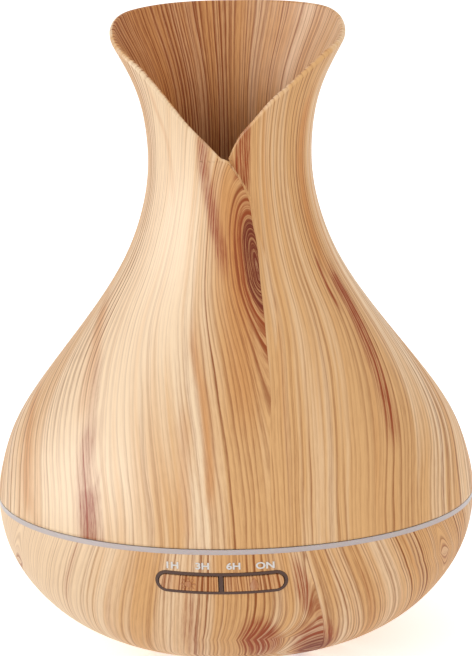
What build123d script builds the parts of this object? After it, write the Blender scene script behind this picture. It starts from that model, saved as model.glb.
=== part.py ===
from build123d import *
from math import cos, radians, sin, sqrt, tan
import os

# Ultrasonic essential oil diffuser, in millimetres.
# The origin is on the surface the diffuser stands on, on the body's axis.
# +Z is up and -Y is the front, the side with the two buttons.

# Overall form
body_radius = 84.0
overall_height = 220.0
wall = 2.2
part_gap = 0.3
fit_gap = 0.05

# Outline of the whole body, (radius, height), from the underside to the lip of the mouth
outline = [
    (40.7, 1.0), (54.1, 6.0), (64.8, 13.0), (73.6, 22.0), (80.7, 34.0), (83.7, 46.0),
    (body_radius, 53.0), (82.2, 64.0), (77.2, 78.0), (66.0, 95.0), (50.7, 115.0),
    (37.8, 135.0), (31.2, 152.0), (28.7, 166.0), (29.0, 180.0), (31.3, 192.0),
    (35.3, 202.0), (41.6, 214.0), (45.0, 222.0),
]
underside = 1.0
base_rim = 50.3
ring_top = 52.0
cover_foot = ring_top + part_gap

# Mouth: a right-angled V in the front, seen from the front as (x, height)
v_point = (0.3, 173.7)
left_rim = [v_point, (-15.2, 189.0), (-30.6, 204.4), (-41.4, 213.5)]
right_rim = [v_point, (5.3, 181.9), (28.6, 203.0), (41.4, 213.5)]
back_rim = [(0.0, 213.5), (10.5, 216.6), (21.9, 218.9), (45.0, overall_height)]

# Fold: free edge of the left petal where it laps over the right one, (x, height)
fold_edge = [v_point, (5.1, 167.7), (8.8, 157.5), (10.9, 145.0), (12.9, 129.0), (15.0, 113.5), (16.3, 104.0)]
fold_foot = fold_edge[-1][1]
petal_tilt = 1.06
petal_pivot_height = 39.0
petal_back = -6.0

# Base floor and bottom cover
skirt_inner_radius = 38.7
bottom_cover_low = 1.2
bottom_cover_high = 3.1
floor_low = 3.2
floor_top = 5.2
foot_radius = 4.8
foot_height = 2.0
foot_spots = [(23.0, 23.0), (-23.0, 23.0), (-23.0, -23.0), (23.0, -23.0)]
cover_screw_spots = [(0.0, 35.0), (-35.0, 0.0), (0.0, -35.0)]
cover_boss_top = 7.6
cover_screw_seat = 2.5
grille_radius = 16.0
grille_slot = 2.2
grille_pitch = 4.0

# Water tank
tank_radius = 66.0
tank_wall = 2.0
tank_underside = 24.0
tank_floor = 26.0
tank_rim = 58.0
flange_top = 54.4
lip_radius = 80.9
lip_top = 57.0
tank_screw_spots = [(16.5, 28.6), (-16.5, 28.6), (-16.5, -28.6), (16.5, -28.6)]
tank_boss_foot = 20.5
tank_screw_grip = 2.2
tank_boss_radius = 3.6
air_tube_radius = 9.0
air_tube_wall = 1.6
air_tube_top = 62.0
air_tube_collar = 1.0
fill_line_height = 50.0

# Inner cover: a dome over the tank with a chimney for the mist
skirt_foot = flange_top + 0.4
skirt_gap = 0.4
inner_wall = 1.8
chimney_radius = 12.4
chimney_top = 150.0
dome = [(70.2, 60.0), (58.0, 69.5), (40.0, 77.0), (22.0, 82.0), (chimney_radius, 90.0)]

# Light ring and its board
ring_inner_radius = 74.0
board_thickness = 1.2
ring_board_low = 46.5
ring_board_inner = 70.6
ring_board_outer = 76.0
ring_board_gap = 32.0
rib_angles = [60.0, 120.0, 180.0, 240.0, 300.0]
ring_led_count = 12

# Fan, 40 mm square
fan_x = 16.0
fan_size = 40.0
fan_depth = 10.0
fan_low = 7.2
fan_top = fan_low + fan_depth
fan_hole_spacing = 32.0
fan_bore_radius = 18.8
blade_tip_radius = 18.0
blade_count = 7
hub_radius = 10.5
hub_cup_radius = 9.4
magnet_inner_radius = 8.4
stator_radius = 7.8
bearing_radius = 2.6
shaft_radius = 1.0
shaft_bore_radius = 1.05
duct_wall = 1.2

# Transducer under the tank floor
transducer_x = -24.0
transducer_hole = 8.0
disc_radius = 10.0
disc_low = 21.7
disc_high = 22.7
seal_radius = 12.0
seal_low = 20.5
clamp_low = 18.9
clamp_screw_radius = 16.0
clamp_screw_angles = [0.0, 120.0, 240.0]

# Main board
board_west = -47.0
board_east = -9.0
board_half_width = 24.0
board_low = 8.0
board_high = 9.6
board_screw_spots = [(-42.0, 18.0), (-42.0, -18.0), (-13.0, 18.0), (-13.0, -18.0)]
connector_top = 14.0
connector_spots = {
    "transducer": (-22.0, 14.0), "fan": (-12.5, -7.0), "ring": (-42.0, 0.0),
    "buttons": (-30.0, -18.0), "inlet": (-32.0, 18.0),
}

# Power inlet, a 5.5 x 2.1 mm barrel jack in a round recess at the back
jack_height = 14.0
jack_recess_radius = 7.0
jack_recess_floor = 56.0
jack_recess_wall = 1.8
jack_recess_bottom = 2.0
jack_half_width = 4.5
jack_half_height = 5.5
jack_length = 14.0
jack_nose_radius = 4.1
jack_bore_radius = 3.15
jack_pin_radius = 1.0
jack_pin_length = 9.0
jack_bore_depth = 9.5

# Buttons: two keys in one stadium bezel, square to the base's surface
key_height_on_base = 40.0
key_surface_radius = 82.45
key_tilt = 14.5
bezel_length = 44.4
bezel_height = 8.0
bezel_width = 1.0
bezel_divider = 1.4
bezel_proud = 0.2
bezel_back = 2.4
key_gap = 0.3
key_proud = 0.5
key_back = 3.5
key_flange = 0.9
key_flange_front = 2.75
key_centre = 11.0
key_stem_foot = 4.6
plunger_radius = 1.5
plunger_foot = 6.5
switch_top = 5.4
switch_bore_radius = 1.8
switch_bore_foot = 7.3
switch_size = 6.0
button_board_front = 8.3
button_board_back = button_board_front + board_thickness
board_post_x = 26.0
legend_spots = [-16.0, -5.5, 6.0, 17.0]
legend_row = 6.1

# Fasteners
small_screw = {"shank": 1.0, "head": 2.0, "head_height": 1.3}
large_screw = {"shank": 1.4, "head": 2.7, "head_height": 1.8}
pilot_gap = 0.05

# Leads
lead_radius = 0.9


def cylinder(radius, low, high, x=0.0, y=0.0):
    """Upright cylinder between two heights."""
    grow_up = (Align.CENTER, Align.CENTER, Align.MIN)
    return Pos(x, y, low) * Cylinder(radius, high - low, align=grow_up)


def tube(outer, inner, low, high, x=0.0, y=0.0):
    """Upright tube between two heights."""
    return cylinder(outer, low, high, x, y) - cylinder(inner, low - 1, high + 1, x, y)


def block(west, east, front, back, low, high):
    """Box from its six faces."""
    centre = Pos((west + east) / 2, (front + back) / 2, (low + high) / 2)
    return centre * Box(east - west, back - front, high - low)


def group(pieces):
    """Several separate solids kept together as one node."""
    return Part() + list(pieces)


def around(angle, radius):
    """Point at an angle from the front, turning towards +X, at a radius from the axis."""
    return radius * sin(radians(angle)), -radius * cos(radians(angle))


def screw(kind, x, y, seat, tip):
    """Pan head screw: its head sits on the seat height and its shank runs to the tip height."""
    down = 1 if seat > tip else -1
    head_end = seat + down * kind["head_height"]
    head = cylinder(kind["head"], min(seat, head_end), max(seat, head_end), x, y)
    shank = cylinder(kind["shank"], min(seat, tip), max(seat, tip), x, y)
    recess = cylinder(kind["shank"] * 0.8, min(head_end, head_end - down * 0.7),
                      max(head_end, head_end - down * 0.7), x, y)
    cross = recess & Pos(x, y, head_end) * (Box(0.6, 4, 2) + Box(4, 0.6, 2))
    return head + shank - cross


def pilot(kind, x, y, low, high):
    """Hole that a screw's shank runs in."""
    return cylinder(kind["shank"] + pilot_gap, low, high, x, y)


def body_solid(growth):
    """The whole body as one solid of revolution, its outline moved outwards by growth."""
    outer = Spline(*[(radius, 0, height) for radius, height in outline])
    moved = []
    steps = 2 * (len(outline) - 1)
    for step in range(steps + 1):
        place = outer.position_at(step / steps)
        along = outer.tangent_at(step / steps)
        moved.append((place.X + growth * along.Z, 0, place.Z - growth * along.X))
    skin = outer if growth == 0 else Spline(*moved)
    low = skin.position_at(0)
    high = skin.position_at(1)
    closing = Polyline((high.X, 0, high.Z), (0, 0, high.Z), (0, 0, low.Z), (low.X, 0, low.Z))
    return revolve(make_face([skin.edge()] + closing.edges()), Axis.Z)


def slab(low, high):
    """Everything between two heights."""
    return block(-100, 100, -100, 100, low, high)


def shell_between(outer_growth, inner_growth, low, high):
    """Band of the body's skin between two offsets of its outline and two heights."""
    return (body_solid(outer_growth) - body_solid(inner_growth)) & slab(low, high)


def above_rim():
    """Everything above the mouth's rim: the front V and the sloping back."""
    high = overall_height + 20
    left = Spline(*left_rim)
    right = Spline(*right_rim)
    side = left_rim[-1]
    top = Polyline(side, (-90, side[1]), (-90, high), (90, high), (90, side[1]), right_rim[-1])
    front_face = make_face(left.edges() + right.edges() + top.edges())
    front = extrude(Plane.XZ * front_face, 90)
    back_curve = Spline(*back_rim)
    back_top = Polyline(back_rim[-1], (90, overall_height), (90, high), (0, high), back_rim[0])
    back_face = make_face(back_curve.edges() + back_top.edges())
    back = extrude(Plane.YZ * back_face, 90, both=True)
    return front + back


def left_petal_region():
    """Everything in front and to the left of the fold."""
    high = overall_height + 20
    edge = Spline(*fold_edge)
    rest = Polyline(fold_edge[-1], (-90, fold_foot), (-90, high), (v_point[0], high), v_point)
    face = make_face(edge.edges() + rest.edges())
    return Pos(0, petal_back, 0) * extrude(Plane.XZ * face, 90)


def outer_cover():
    """Upper shell with its flared mouth; the left petal leans forward over the right one."""
    shell = shell_between(0, -wall, cover_foot, overall_height + 1)
    pivot = Pos(0, 0, petal_pivot_height)
    leaned = pivot * Rot(X=petal_tilt) * Pos(0, 0, -petal_pivot_height) * shell
    petal = leaned & left_petal_region()
    return shell + petal - above_rim()


def key_plane():
    """Plane square to the base's surface at the middle of the buttons, facing out."""
    outward = (0, -cos(radians(key_tilt)), -sin(radians(key_tilt)))
    return Plane(origin=(0, -key_surface_radius, key_height_on_base), x_dir=(1, 0, 0), z_dir=outward)


def key_prism(sketch, outer=8.0, inner=12.0):
    """A sketch drawn on the key plane, carried through the wall along the key's travel."""
    return extrude(key_plane().offset(-inner) * sketch, outer + inner)


def key_sketch(side, growth):
    """Outline of one key: half a stadium, its straight side at the divider."""
    length = bezel_length - 2 * (bezel_width + key_gap) + 2 * growth
    height = bezel_height - 2 * (bezel_width + key_gap) + 2 * growth
    straight = bezel_divider / 2 + key_gap - growth
    half = Pos(side * (straight + length / 2), 0) * Rectangle(length, 2 * height)
    return SlotOverall(length, height) & half


def key_box(x_low, x_high, y_low, y_high, depth_low, depth_high):
    """Box in the key plane's own directions, its depths measured inwards from the surface."""
    sketch = Pos((x_low + x_high) / 2, (y_low + y_high) / 2) * Rectangle(x_high - x_low, y_high - y_low)
    return extrude(key_plane().offset(-depth_high) * sketch, depth_high - depth_low)


def key_rod(x, y, radius, depth_low, depth_high):
    """Rod along the key's travel, its depths measured inwards from the surface."""
    sketch = Pos(x, y) * Circle(radius)
    return extrude(key_plane().offset(-depth_high) * sketch, depth_high - depth_low)


def key_screw(x, y, seat, tip):
    """Screw along the key's travel, its head on the inner side."""
    shank = key_rod(x, y, small_screw["shank"], tip, seat)
    head = key_rod(x, y, small_screw["head"], seat, seat + small_screw["head_height"])
    return shank + head


def button(side):
    """Key with a retaining flange behind the bezel and a stem for its switch."""
    band_low = key_height_on_base - 10
    band_high = base_rim - 1
    cap = key_prism(key_sketch(side, 0)) & shell_between(key_proud, -key_back, band_low, band_high)
    flange_band = shell_between(-key_flange_front, -key_back, band_low, band_high)
    flange = key_prism(key_sketch(side, key_flange)) & flange_band
    stem = key_rod(side * key_centre, 0, plunger_radius, key_back, key_stem_foot)
    return cap + flange + stem


def button_bezel():
    """Stadium frame with a divider between the two keys."""
    band = shell_between(bezel_proud, -bezel_back, key_height_on_base - 10, base_rim - 1)
    frame = SlotOverall(bezel_length, bezel_height)
    for side in (-1, 1):
        frame -= key_sketch(side, key_gap)
    return key_prism(frame) & band


def switch_body(side):
    """Tact switch housing with the bore its plunger slides in."""
    half = switch_size / 2
    middle = side * key_centre
    body = key_box(middle - half, middle + half, -half, half, switch_top, button_board_front)
    return body - key_rod(middle, 0, switch_bore_radius, switch_top - 1, switch_bore_foot)


def switch_plunger(side):
    """Tact switch plunger, pressed by the key's stem."""
    return key_rod(side * key_centre, 0, plunger_radius, key_stem_foot, plunger_foot)


def button_board():
    """Board behind the buttons, held on two posts of the base."""
    sketch = Pos(0, 1.0) * RectangleRounded(58, 12, 2)
    board = extrude(key_plane().offset(-button_board_back) * sketch, board_thickness)
    for side in (-1, 1):
        hole = key_rod(side * board_post_x, 0, small_screw["shank"] + pilot_gap, 0, 12)
        board -= hole
    return board


def button_board_screws():
    """Two screws that hold the button board."""
    return group(key_screw(side * board_post_x, 0, button_board_back, 6.6) for side in (-1, 1))


def indicator_leds():
    """One lamp behind each timer legend."""
    lamps = []
    for spot in legend_spots:
        lamps.append(key_box(spot - 0.8, spot + 0.8, legend_row - 0.6, legend_row + 0.6,
                             button_board_front - 0.6, button_board_front))
    return group(lamps)


def indicator_light_guide():
    """Clear bar that carries the lamps' light to the wall."""
    return key_box(-18.5, 18.5, legend_row - 0.9, legend_row + 0.9, 5.1, button_board_front - 0.6)


def base_shell():
    """Bowl with a ledge for its floor, ribs for the ring board and the button slot."""
    outside = body_solid(0) & slab(underside, base_rim)
    hollow = body_solid(-wall) & slab(floor_low, base_rim + 1)
    shell = outside - hollow - cylinder(skirt_inner_radius, underside - 1, floor_low)
    for angle in rib_angles:
        x, y = around(angle, (ring_board_inner + body_radius) / 2)
        rib = Pos(x, y, ring_board_low - 1.5) * Rot(Z=angle) * Box(2, body_radius - ring_board_inner, 3)
        shell += rib & body_solid(-wall / 2)
    for side in (-1, 1):
        post = key_rod(side * board_post_x, 0, 2.4, 0, button_board_front)
        shell += post & body_solid(-wall / 2)
        shell -= key_rod(side * board_post_x, 0, small_screw["shank"] + pilot_gap, 6.4, 12)
    shell -= inlet_rod(jack_recess_radius + jack_recess_wall + fit_gap, -jack_recess_bottom, body_radius)
    return shell - key_prism(SlotOverall(bezel_length + 0.1, bezel_height + 0.1), inner=6.0)


def base_floor():
    """Floor plate on the shell's ledge: bosses for screws, board and fan, and the jack's cradle."""
    inside = body_solid(-wall - fit_gap)
    floor = inside & slab(floor_low, floor_top)
    floor -= cylinder(grille_radius + 1.5, floor_low - 1, floor_top + 1, fan_x)
    for x, y in cover_screw_spots:
        floor += cylinder(3.0, floor_top, cover_boss_top, x, y)
        floor -= pilot(small_screw, x, y, floor_low - 1, cover_boss_top - 0.4)
    for x, y in tank_screw_spots:
        floor += cylinder(4.0, floor_top, tank_boss_foot, x, y)
        floor -= pilot(large_screw, x, y, floor_low - 1, tank_boss_foot + 1)
        floor -= cylinder(large_screw["head"] + 0.2, floor_low - 1, floor_low + 3, x, y)
    for x, y in board_screw_spots:
        floor += tube(2.4, small_screw["shank"] + pilot_gap, floor_top, board_low, x, y)
    for x, y in fan_screw_spots():
        floor += cylinder(2.4, floor_top, fan_low, x, y)
        floor -= pilot(small_screw, x, y, floor_low + 0.4, fan_low + 1)
    jack_front = jack_recess_floor - jack_recess_bottom
    cradle = block(-jack_half_width, jack_half_width, jack_front - jack_length + 1, jack_front,
                   floor_top, jack_height - jack_half_height)
    return floor + (cradle & inside)


def inlet_rod(radius, start, end):
    """Round bar along the inlet's axis, between two distances out from the recess's floor."""
    grow_out = (Align.CENTER, Align.CENTER, Align.MIN)
    along_y = Pos(0, jack_recess_floor + start, jack_height) * Rot(X=-90)
    return along_y * Cylinder(radius, end - start, align=grow_out)


def inlet_cup():
    """Round recess at the back of the base, with a hole for the jack's nose."""
    cup = inlet_rod(jack_recess_radius + jack_recess_wall, -jack_recess_bottom, body_radius) & body_solid(0)
    cup -= inlet_rod(jack_recess_radius, 0, body_radius)
    return cup - inlet_rod(jack_nose_radius + 0.1, -jack_recess_bottom - 1, 1)


def dc_jack():
    """Barrel jack: square body, round nose, bore and centre pin."""
    front = jack_recess_floor - jack_recess_bottom
    body = block(-jack_half_width, jack_half_width, front - jack_length, front,
                 jack_height - jack_half_height, jack_height + jack_half_height)
    face = front + 1.8
    face_plane = Plane(origin=(0, face, jack_height), z_dir=(0, 1, 0))
    body += extrude(face_plane * Circle(jack_nose_radius), -1.8)
    body -= extrude(face_plane * Circle(jack_bore_radius), -jack_bore_depth)
    pin_root = face - jack_bore_depth
    pin = extrude(Plane(origin=(0, pin_root, jack_height), z_dir=(0, 1, 0)) * Circle(jack_pin_radius),
                  jack_pin_length)
    return body + pin


def bottom_cover():
    """Round plate under the base with the fan's air slots."""
    plate = cylinder(skirt_inner_radius - 0.3, bottom_cover_low, bottom_cover_high)
    slots = []
    count = int(2 * grille_radius / grille_pitch)
    for index in range(count):
        y = (index - (count - 1) / 2) * grille_pitch
        reach = sqrt(grille_radius ** 2 - y ** 2)
        slots.append(Pos(fan_x, y, 2) * Box(2 * reach, grille_slot, 4))
    plate -= group(slots)
    for x, y in foot_spots:
        plate -= cylinder(foot_radius + 0.1, bottom_cover_low - 1, foot_height, x, y)
    for x, y in cover_screw_spots:
        plate -= pilot(small_screw, x, y, 0, bottom_cover_high + 1)
        plate -= cylinder(small_screw["head"] + 0.2, 0, cover_screw_seat, x, y)
    return plate


def bottom_cover_screws():
    """Screws that hold the bottom cover, driven from below."""
    return group(screw(small_screw, x, y, cover_screw_seat, cover_boss_top - 0.6)
                 for x, y in cover_screw_spots)


def rubber_feet():
    """Four round pads in the bottom cover's recesses."""
    return group(cylinder(foot_radius, 0, foot_height, x, y) for x, y in foot_spots)


def light_ring():
    """Translucent ring between base and cover, with pegs that hold its board down."""
    ring = (body_solid(0) & slab(base_rim, ring_top)) - cylinder(ring_inner_radius, base_rim - 1, ring_top + 1)
    for angle in rib_angles:
        x, y = around(angle, ring_board_outer - 1.2)
        ring += cylinder(1.0, ring_board_low + board_thickness, base_rim, x, y)
    return ring


def ring_board_spots():
    """Even spots along the ring board, clear of its pegs."""
    span = 360 - 2 * ring_board_gap
    return [ring_board_gap + span * (index + 0.5) / ring_led_count for index in range(ring_led_count)]


def ring_board():
    """C-shaped board that leaves the front free for the buttons."""
    ring = tube(ring_board_outer, ring_board_inner, ring_board_low, ring_board_low + board_thickness)
    half_width = body_radius * tan(radians(ring_board_gap))
    wedge = Polyline((0, 0), (half_width, -body_radius), (-half_width, -body_radius), close=True)
    return ring - extrude(Pos(0, 0, ring_board_low - 1) * make_face(wedge.edges()), 4)


def ring_leds():
    """Lamps along the ring board."""
    lamps = []
    low = ring_board_low + board_thickness
    for angle in ring_board_spots():
        x, y = around(angle, ring_board_inner + 1.8)
        lamps.append(Pos(x, y, low + 0.7) * Rot(Z=angle) * Box(2.8, 2.8, 1.4))
    return group(lamps)


def water_tank():
    """Open tank with a hole for the air tube, a flange over the light ring and screw bosses below."""
    outer = tank_radius + tank_wall
    tank = cylinder(outer, tank_underside, tank_rim) - cylinder(tank_radius, tank_floor, tank_rim + 1)
    tank += tube(lip_radius, outer - 0.5, ring_top, flange_top)
    tank += tube(lip_radius, lip_radius - 1.9, flange_top - 0.5, lip_top)
    tank += tube(tank_radius + 0.5, tank_radius - 0.6, fill_line_height, fill_line_height + 0.6)
    tube_hole = air_tube_radius + air_tube_wall + fit_gap
    tank -= cylinder(tube_hole, tank_underside - 1, tank_floor + 1, fan_x)
    tank -= cylinder(transducer_hole, tank_underside - 1, tank_floor + 1, transducer_x)
    for x, y in tank_screw_spots:
        tank += cylinder(tank_boss_radius, tank_boss_foot, tank_underside, x, y)
        tank -= pilot(large_screw, x, y, tank_boss_foot - 1, tank_underside - 1)
    for x, y in clamp_screw_spots():
        tank += cylinder(2.6, seal_low, tank_underside, x, y)
        tank -= pilot(small_screw, x, y, seal_low - 1, tank_underside + 0.5)
    return tank


def air_tube():
    """Tube pressed into the tank's floor, with a collar that seats on it."""
    outer = air_tube_radius + air_tube_wall
    pipe = tube(outer, air_tube_radius, tank_underside, air_tube_top, fan_x)
    return pipe + tube(outer + air_tube_collar, air_tube_radius, tank_floor, tank_floor + air_tube_collar, fan_x)


def tank_screws():
    """Long screws up through the base into the tank's bosses."""
    return group(screw(large_screw, x, y, floor_low + 3, tank_boss_foot + tank_screw_grip) for x, y in tank_screw_spots)


def clamp_screw_spots():
    """Three screws around the transducer."""
    return [(transducer_x + clamp_screw_radius * cos(radians(angle)),
             clamp_screw_radius * sin(radians(angle))) for angle in clamp_screw_angles]


def transducer_disc():
    """Ceramic disc that makes the mist."""
    return cylinder(disc_radius, disc_low, disc_high, transducer_x)


def transducer_seal():
    """Rubber ring that holds the disc against the tank's floor."""
    ring = tube(seal_radius, transducer_hole, seal_low, tank_underside, transducer_x)
    return ring - cylinder(disc_radius, disc_low, disc_high, transducer_x)


def transducer_clamp():
    """Plate with three ears that presses the seal up."""
    plate = cylinder(seal_radius + 1.0, clamp_low, seal_low, transducer_x)
    for x, y in clamp_screw_spots():
        plate += cylinder(3.2, clamp_low, seal_low, x, y)
    plate -= cylinder(6.5, clamp_low - 1, seal_low + 1, transducer_x)
    for x, y in clamp_screw_spots():
        plate -= pilot(small_screw, x, y, clamp_low - 1, seal_low + 1)
    return plate


def transducer_screws():
    """Screws that hold the clamp."""
    return group(screw(small_screw, x, y, clamp_low, tank_underside) for x, y in clamp_screw_spots())


def fan_screw_spots():
    """The fan's four corner holes."""
    half = fan_hole_spacing / 2
    return [(fan_x + dx, dy) for dx in (-half, half) for dy in (-half, half)]


def fan_frame():
    """Square frame with a round bore, three struts and the bearing's socket."""
    half = fan_size / 2
    frame = Pos(fan_x, 0, fan_low + fan_depth / 2) * Box(fan_size, fan_size, fan_depth)
    frame = fillet(frame.edges().filter_by(Axis.Z), 2.5)
    frame -= cylinder(fan_bore_radius, fan_low - 1, fan_top + 1, fan_x)
    for turn in (30, 150, 270):
        strut = Pos(fan_x, 0, fan_low + 0.6) * Rot(Z=turn) * Pos(half / 2, 0, 0) * Box(half, 2.0, 1.2)
        frame += strut & cylinder(fan_bore_radius + 0.5, fan_low, fan_top, fan_x)
    frame += cylinder(hub_radius, fan_low, fan_low + 1.2, fan_x)
    frame += cylinder(bearing_radius + 1.2, fan_low, fan_top - 3.0, fan_x)
    frame -= cylinder(bearing_radius, fan_low + 1.0, fan_top, fan_x)
    for x, y in fan_screw_spots():
        frame -= cylinder(small_screw["shank"] + 0.4, fan_low - 1, fan_top + 1, x, y)
    return frame


def fan_bearing():
    """Sintered bush that the fan's shaft runs in."""
    return tube(bearing_radius, shaft_bore_radius, fan_low + 1.0, fan_top - 3.0, fan_x)


def fan_stator():
    """Coil pack round the bearing's socket: four poles."""
    core = cylinder(bearing_radius + 2.6, fan_low + 2.2, fan_top - 3.4, fan_x)
    for turn in (0, 45, 90, 135):
        pole = Pos(fan_x, 0, (fan_low + fan_top - 1.2) / 2) * Rot(Z=turn) * Box(2 * stator_radius, 3.2, 3.6)
        core += pole & cylinder(stator_radius, fan_low, fan_top, fan_x)
    return core - cylinder(bearing_radius + 1.2, fan_low, fan_top, fan_x)


def fan_impeller():
    """Hub cup with swept blades."""
    cup_low = fan_low + 1.6
    cup_top = fan_top - 0.8
    hub = cylinder(hub_radius, cup_low, cup_top, fan_x)
    hub -= cylinder(hub_cup_radius, cup_low - 1, cup_top - 1.2, fan_x)
    blade_length = blade_tip_radius - hub_radius + 0.6
    middle = (cup_low + cup_top) / 2
    ring = tube(blade_tip_radius, hub_radius - 0.3, cup_low, cup_top, fan_x)
    for index in range(blade_count):
        blade = Pos(hub_radius - 0.6 + blade_length / 2, 0, 0) * Rot(X=38) * Box(blade_length + 2, 9.0, 1.0)
        placed = Pos(fan_x, 0, middle) * Rot(Z=index * 360 / blade_count) * blade
        hub += placed & ring
    return hub - cylinder(shaft_radius, cup_low - 1, cup_top - 0.4, fan_x)


def fan_shaft():
    """Steel shaft fixed in the hub."""
    return cylinder(shaft_radius, fan_low + 1.6, fan_top - 1.2, fan_x)


def rotor_magnet():
    """Ring magnet inside the hub."""
    return tube(hub_cup_radius, magnet_inner_radius, fan_low + 2.0, fan_top - 3.0, fan_x)


def fan_duct():
    """Funnel from the fan up to the tank's air tube."""
    half = fan_size / 2
    flange = block(fan_x - half, fan_x + half, -half, half, fan_top, fan_top + 1.5)
    neck_low = tank_underside - 1.0 - 1.5
    outside = [(fan_bore_radius, fan_top), (fan_bore_radius, fan_top + 1.5),
               (air_tube_radius + duct_wall, neck_low), (air_tube_radius + duct_wall, neck_low + 1.5),
               (0, neck_low + 1.5), (0, fan_top)]
    inside = [(fan_bore_radius - duct_wall, fan_top - 1), (fan_bore_radius - duct_wall, fan_top + 1.5),
              (air_tube_radius, neck_low), (air_tube_radius, neck_low + 3), (0, neck_low + 3),
              (0, fan_top - 1)]
    solids = []
    for points in (outside, inside):
        line = Polyline(*[(radius, 0, height) for radius, height in points], close=True)
        solids.append(Pos(fan_x, 0, 0) * revolve(make_face(line.edges()), Axis.Z))
    duct = flange + solids[0] - solids[1]
    for x, y in fan_screw_spots():
        duct -= pilot(small_screw, x, y, fan_top - 1, fan_top + 3)
    return duct


def duct_gasket():
    """Foam ring between the duct and the tank."""
    return tube(air_tube_radius + 3, air_tube_radius, tank_underside - 1.0, tank_underside, fan_x)


def fan_screws():
    """Screws through the duct's flange and the fan into the base."""
    return group(screw(small_screw, x, y, fan_top + 1.5, floor_low + 0.8) for x, y in fan_screw_spots())


def main_board():
    """Driver board on four posts."""
    middle = (board_west + board_east) / 2
    sketch = Pos(middle, 0) * RectangleRounded(board_east - board_west, 2 * board_half_width, 3)
    board = extrude(Pos(0, 0, board_low) * sketch, board_high - board_low)
    for x, y in board_screw_spots:
        board -= pilot(small_screw, x, y, board_low - 1, board_high + 1)
    return board


def main_board_screws():
    """Screws that hold the driver board."""
    return group(screw(small_screw, x, y, board_high, floor_top + 0.4) for x, y in board_screw_spots)


def board_components():
    """Connectors, coil, capacitors and chips standing on the driver board."""
    pieces = []
    for x, y in connector_spots.values():
        pieces.append(block(x - 3, x + 3, y - 2.5, y + 2.5, board_high, connector_top))
    pieces.append(cylinder(4.5, board_high, 15.0, -35.0, 8.5))
    pieces.append(cylinder(3.2, board_high, 15.5, -34.0, -6.5))
    pieces.append(cylinder(2.5, board_high, 14.5, -20.0, -18.0))
    pieces.append(block(-28.0, -20.0, -6.0, 0.0, board_high, board_high + 1.4))
    pieces.append(block(-26.0, -21.0, 3.0, 8.0, board_high, board_high + 1.2))
    return group(pieces)


def inner_cover():
    """Dome that sits over the tank's rim, with a chimney for the mist."""
    foot = tank_radius + tank_wall + skirt_gap + inner_wall
    crown = Spline(*[(radius, 0, height) for radius, height in dome])
    rest = Polyline((dome[-1][0], 0, dome[-1][1]), (chimney_radius, 0, chimney_top), (0, 0, chimney_top),
                    (0, 0, skirt_foot), (foot, 0, skirt_foot), (foot, 0, dome[0][1]))
    outside = revolve(make_face(crown.edges() + rest.edges()), Axis.Z)
    under = [(radius - inner_wall, height - inner_wall * 0.9) for radius, height in dome]
    bore = chimney_radius - inner_wall
    lower_crown = Spline(*[(radius, 0, height) for radius, height in under])
    lower_rest = Polyline((bore, 0, under[-1][1]), (bore, 0, chimney_top + 1), (0, 0, chimney_top + 1),
                          (0, 0, skirt_foot - 1), (foot - inner_wall, 0, skirt_foot - 1),
                          (foot - inner_wall, 0, under[0][1]))
    return outside - revolve(make_face(lower_crown.edges() + lower_rest.edges()), Axis.Z)


def bend_radii(points):
    """Arc radius at each corner of a lead's route: as large as its two runs allow."""
    radii = []
    corners = [Vector(*point) for point in points]
    for before, corner, after in zip(corners, corners[1:], corners[2:]):
        turn = (corner - before).get_angle(after - corner)
        run = min((corner - before).length, (after - corner).length)
        radii.append(0.45 * run / tan(radians(turn / 2)))
    return radii


def lead(points):
    """Round lead along straight runs joined by arcs."""
    radii = bend_radii(points)
    print("lead radii", [round(radius, 1) for radius in radii])
    path = FilletPolyline(*points, radius=radii)
    start = Plane(origin=path @ 0, z_dir=path % 0)
    return sweep(start * Circle(lead_radius), path=path)


def connector_end(name):
    """Top of a connector on the driver board."""
    x, y = connector_spots[name]
    return x, y, connector_top


def leads():
    """The leads that join the boards, fan, transducer and inlet."""
    x, y, top = connector_end("transducer")
    transducer = [(transducer_x, 0, disc_low), (transducer_x, 0, 16.4), (x - 1, 7, 15.9),
                  (x, y, 18.0), (x, y, top)]
    x, y, top = connector_end("fan")
    fan_west = fan_x - fan_size / 2
    fan = [(fan_west, y - 3, 14.5), (fan_west - 3.0, y - 3, 14.5), (x + 1.5, y - 1.0, 17.6),
           (x, y, 17.4), (x, y, top)]
    x, y, top = connector_end("ring")
    ring = [(-73.2, y, ring_board_low), (-73.2, y, 38.0), (-71.0, y, 26.0), (-63.0, y, 17.0),
            (-51.0, y, 16.2), (x, y, 19.5), (x, y, top)]
    x, y, top = connector_end("buttons")
    start = key_plane().from_local_coords(Vector(-20, -5, -(button_board_front + button_board_back) / 2))
    down = key_plane().from_local_coords(Vector(-20, -11, -(button_board_front + button_board_back) / 2))
    buttons = [tuple(start), tuple(down), (-23, -66, 22.0), (-27, -46, 13.5), (-30, -27, 15.0),
               (x, y, 18.5), (x, y, top)]
    x, y, top = connector_end("inlet")
    jack_rear = jack_recess_floor - jack_recess_bottom - jack_length
    inlet = [(0, jack_rear, jack_height), (0, jack_rear - 4.5, jack_height), (-9, jack_rear - 6, 15.0),
             (-22, jack_rear - 5, 16.0), (-31, jack_rear - 13, 17.5), (x, y, 18.5), (x, y, top)]
    return {"transducer_lead": lead(transducer), "fan_lead": lead(fan), "ring_lead": lead(ring),
            "button_lead": lead(buttons), "inlet_lead": lead(inlet)}


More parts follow.
